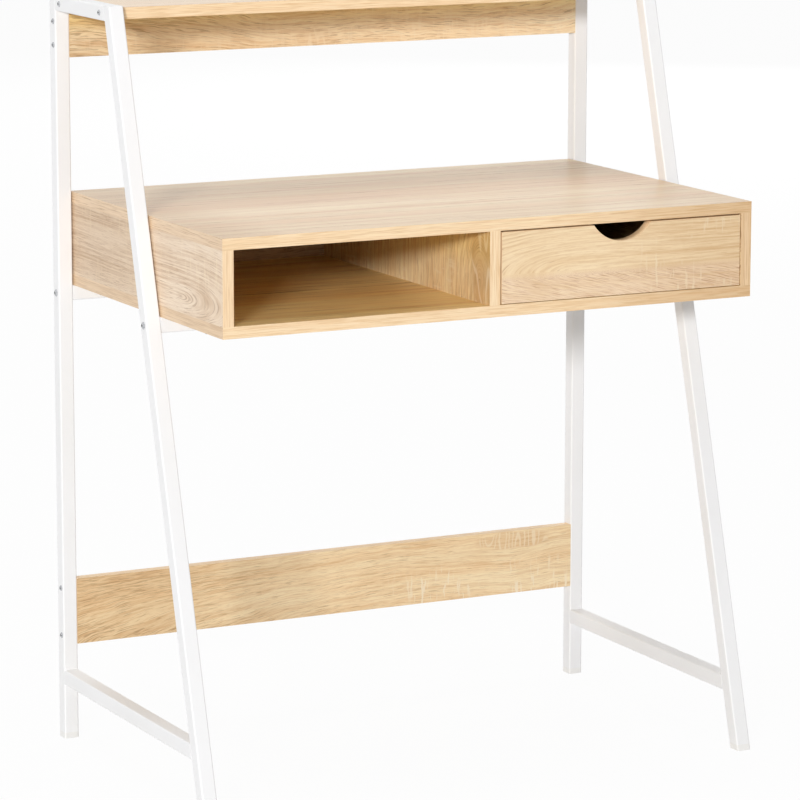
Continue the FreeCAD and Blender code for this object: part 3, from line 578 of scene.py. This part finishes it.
# Painted shadow: the left part darker, where the left side panel shades the back panel.
BACK_FIGURE = {"Shade and tone tints": [(SHADE_AND_TONE_TINT, "x", -0.36, 0, 1, 0.4)]}
UPPER_FIGURE = {
    "Centre": 0.05,
    "Axis": 1.015,
    "Taper": 0.15,
    "Wander": 0.08,
    "Rings": 0.15,
    "Crowd": 0.01,
    "Ticks": 0.3,
    "Crisp": 0.3,
    "Curl along": -0.02,
    "Curl across": 0.932,
    "Curl length": 0.035,
    "Curl width": 0.014,
    # Painted shadow at the left end, beside the left front leg, and painted warm shade along the top, under the
    # shelf.
    "Shade and tone tints": [(SHADE_AND_TONE_TINT, "x", -0.4, 0.15, 0.45, 0), (WARM_SHADE_TINT, "z", 0.945, 0.98, 0, 1)],
}
LOWER_FIGURE = {
    "Centre": 0.05,
    "Axis": 0.1,
    "Taper": 0.19,
    "Rings": 0.15,
    "Flecks": 0.45,
    "Thin": 0.2,
    "Ticks": 1,
    "Tick start": 0.08,
    "Tick top": 0.185,
    "Crisp": 0.26,
    "Curl along": 0.29,
    "Curl across": 0.207,
    "Curl length": 0.06,
    "Curl width": 0.013,
    "Curl": 0.6,
    # Darker towards the left end, and a little darker along the top.
    "Shade and tone tints": [(SHADE_AND_TONE_TINT, "x", -0.3, -0.06, 0.4, 0), (SHADE_AND_TONE_TINT, "z", 0.16, 0.2, 0, 0.1)],
}
FRONT_FIGURE = {
    "Centre": 0.12,
    "Axis": 0.669,
    "Taper": 0.28,
    "Wander": 0.006,
    "Ring": 0.0057,
    "Rings": 0.45,
    "Crowd": -0.1,
    "Ticks": 0.6,
    "Tick start": 0.2,
    "Heart": 1,
    "Crisp": 0.3,
    # Painted shade: darker towards the right, where the light falls off.
    "Shade and tone tints": [(SHADE_AND_TONE_TINT, "x", 0.12, 0.34, 0, 0.32)],
}

# Each board: the axis of its grain, the axis across it on the large faces, a seed, the tones of the large
# face that looks down the third axis and of the one that looks up it, and the figure.
BOARDS = {
    "desk_top": ("x", "y", 1, BACK, DESK_PAINTED_LIGHT, TOP_FIGURE),
    "desk_bottom": ("x", "y", 2, LIGHT, CUBBY_PAINTED_LIGHT, BOTTOM_FIGURE),
    "top_shelf": ("x", "y", 3, INNER_PAINTED_LIGHT, SHELF, PLAIN),
    "left_side_panel": ("y", "z", 4, COOL, INNER_PAINTED_LIGHT, LEFT_FIGURE),
    "right_side_panel": ("y", "z", 5, INNER_PAINTED_LIGHT, COOL, RIGHT_FIGURE),
    "divider": ("z", "y", 6, INNER_PAINTED_LIGHT, INNER_PAINTED_LIGHT, DIVIDER_FIGURE),
    "back_panel": ("x", "z", 7, COOL, BACK, BACK_FIGURE),
    "upper_back_board": ("x", "z", 8, UPPER_PAINTED_LIGHT, UPPER_PAINTED_LIGHT, UPPER_FIGURE),
    "lower_back_board": ("x", "z", 17, BACK, BACK, LOWER_FIGURE),
    "drawer_front": ("x", "z", 10, LIGHT, LIGHT, FRONT_FIGURE),
    "drawer_left_side": ("y", "z", 11, LIGHT, LIGHT, {}),
    "drawer_right_side": ("y", "z", 12, LIGHT, LIGHT, {}),
    "drawer_back": ("x", "z", 13, LIGHT, LIGHT, {}),
    "drawer_bottom": ("x", "y", 14, LIGHT, LIGHT, {}),
}
SEED_STEP = 3.7
OAK_ROUGH = 0.4
SMOOTHER = {"desk_top": 0.3, "top_shelf": 0.3}
for name, (grain, across, seed, below, above, figure) in BOARDS.items():
    rough = SMOOTHER.get(name, OAK_ROUGH)
    paint(laminate(f"oak_{name}", grain, across, seed * SEED_STEP, (below, above), figure, rough), name)
soften(*BOARDS)


# Floor, light and camera.


def seen_directly(tree):
    """One for what the camera sees, also in metal and gloss, and zero for light that falls on things."""
    path = tree.add("ShaderNodeLightPath").outputs
    seen = tree.math("MAXIMUM", path["Is Camera Ray"], path["Is Glossy Ray"])
    return tree.math("MAXIMUM", seen, path["Is Transmission Ray"])


def make_floor():
    mesh = bpy.data.meshes.new("floor")
    half = FLOOR_SIZE / 2
    mesh.from_pydata([(-half, -half, 0), (half, -half, 0), (half, half, 0), (-half, half, 0)], [], [(0, 1, 2, 3)])
    floor = bpy.data.objects.new("floor", mesh)
    bpy.context.scene.collection.objects.link(floor)
    material, tree = new_material("pale_floor")
    matte = tree.add("ShaderNodeBsdfDiffuse", {"Color": FLOOR_TONE})
    glow = tree.add("ShaderNodeEmission", {"Color": WHITE, "Strength": 1})
    share = tree.times(seen_directly(tree), FLOOR_WHITE)
    both = tree.add("ShaderNodeMixShader", {0: share, 1: matte.outputs[0], 2: glow.outputs[0]})
    output = tree.add("ShaderNodeOutputMaterial")
    tree.put(output.inputs["Surface"], both.outputs[0])
    mesh.materials.append(material)


def make_world():
    world = bpy.data.worlds.new("studio")
    world.use_nodes = True
    world.node_tree.nodes.clear()
    tree = Tree(world.node_tree)
    strength = tree.blend(seen_directly(tree), WORLD_LIGHT, 1)
    sky = tree.add("ShaderNodeBackground", {"Color": WHITE, "Strength": strength})
    output = tree.add("ShaderNodeOutputWorld")
    tree.put(output.inputs["Surface"], sky.outputs[0])
    bpy.context.scene.world = world


def make_lamp(name, place, size, power, in_gloss):
    lamp = bpy.data.lights.new(name, "AREA")
    lamp.shape = "RECTANGLE"
    lamp.size, lamp.size_y = size
    lamp.energy = power
    box = bpy.data.objects.new(name, lamp)
    box.location = place
    box.visible_glossy = in_gloss
    box.rotation_euler = (Vector(LAMP_TARGET) - Vector(place)).to_track_quat("-Z", "Y").to_euler()
    bpy.context.scene.collection.objects.link(box)


def make_camera():
    yaw, pitch, roll = (math.radians(angle) for angle in (CAMERA_YAW, CAMERA_PITCH, CAMERA_ROLL))
    ahead = Vector((math.sin(yaw) * math.cos(pitch), math.cos(yaw) * math.cos(pitch), -math.sin(pitch)))
    lens = bpy.data.cameras.new("camera")
    lens.sensor_width = SENSOR_MM
    lens.lens = FOCAL_PIXELS * SENSOR_MM / PICTURE_PIXELS
    lens.clip_end = CAMERA_FAR
    camera = bpy.data.objects.new("camera", lens)
    camera.location = CAMERA_PLACE
    turn = ahead.to_track_quat("-Z", "Y") @ Quaternion((0, 0, 1), roll)
    camera.rotation_euler = turn.to_euler()
    bpy.context.scene.collection.objects.link(camera)
    bpy.context.scene.camera = camera


make_floor()
make_world()
for name, settings in LAMPS.items():
    make_lamp(name, *settings)
make_camera()
bpy.context.scene.view_settings.view_transform = "Standard"
